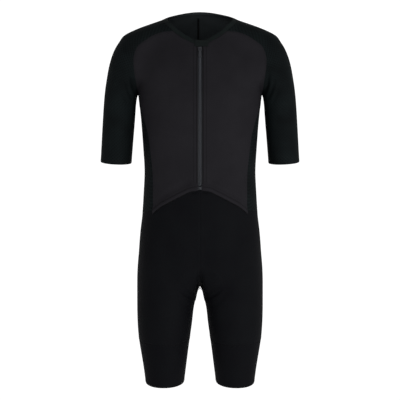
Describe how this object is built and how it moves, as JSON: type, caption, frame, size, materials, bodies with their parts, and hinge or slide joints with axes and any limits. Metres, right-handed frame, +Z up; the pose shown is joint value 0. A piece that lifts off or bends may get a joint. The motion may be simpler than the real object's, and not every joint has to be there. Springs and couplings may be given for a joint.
{
  "type": "worn cycling skinsuit",
  "caption": "Close fitting one-piece suit with raglan sleeves to the elbow, a front zip, shorts to above the knee and a seat pad, standing out as worn with nobody in it.",
  "frame": {"origin": "middle of the neck opening, level with the tops of the shoulders at the neck", "axes": "+Z up towards the head, front faces -Y, +X to the left side of the wearer"},
  "size_m": [0.5134, 0.2515, 0.9726],
  "materials": {
    "front_knit": "plain smooth knit with a soft sheen",
    "back_knit": "textured aero knit",
    "sleeve_knit": "textured aero knit, a small relief of dots",
    "shorts_knit": "smooth compressive knit, low sheen",
    "gripper_band": "dense smooth knit, low sheen",
    "zip_tape": "woven tape",
    "binding": "folded knit binding",
    "seat_pad": "soft knit over foam",
    "zip_teeth": "satin moulded coil",
    "zip_metal": "satin lacquer"
  },
  "bodies": {
    "suit": {"front_left": "front_knit", "front_right": "front_knit", "front_hem_left": "front_knit", "front_hem_right": "front_knit", "back_left": "back_knit", "back_right": "back_knit", "sleeve_left": "sleeve_knit", "sleeve_right": "sleeve_knit", "short_left": "shorts_knit", "short_right": "shorts_knit", "leg_band_left": "gripper_band", "leg_band_right": "gripper_band", "zip_tape_left": "zip_tape", "zip_tape_right": "zip_tape", "neck_binding": "binding", "seat_pad": "seat_pad", "zip_chain": "zip_teeth", "zip_slider": "zip_metal", "zip_bottom_stop": "zip_metal", "zip_garage": "binding"},
    "pull": {"zip_pull": "zip_metal"}
  },
  "joints": [
    {"name": "zip_pull_hinge", "type": "hinge", "parent": "suit", "child": "pull", "pos_m": [0, -0.08552, -0.05126], "axis": [-1, 0, 0], "range_deg": [0, 150]}
  ]
}
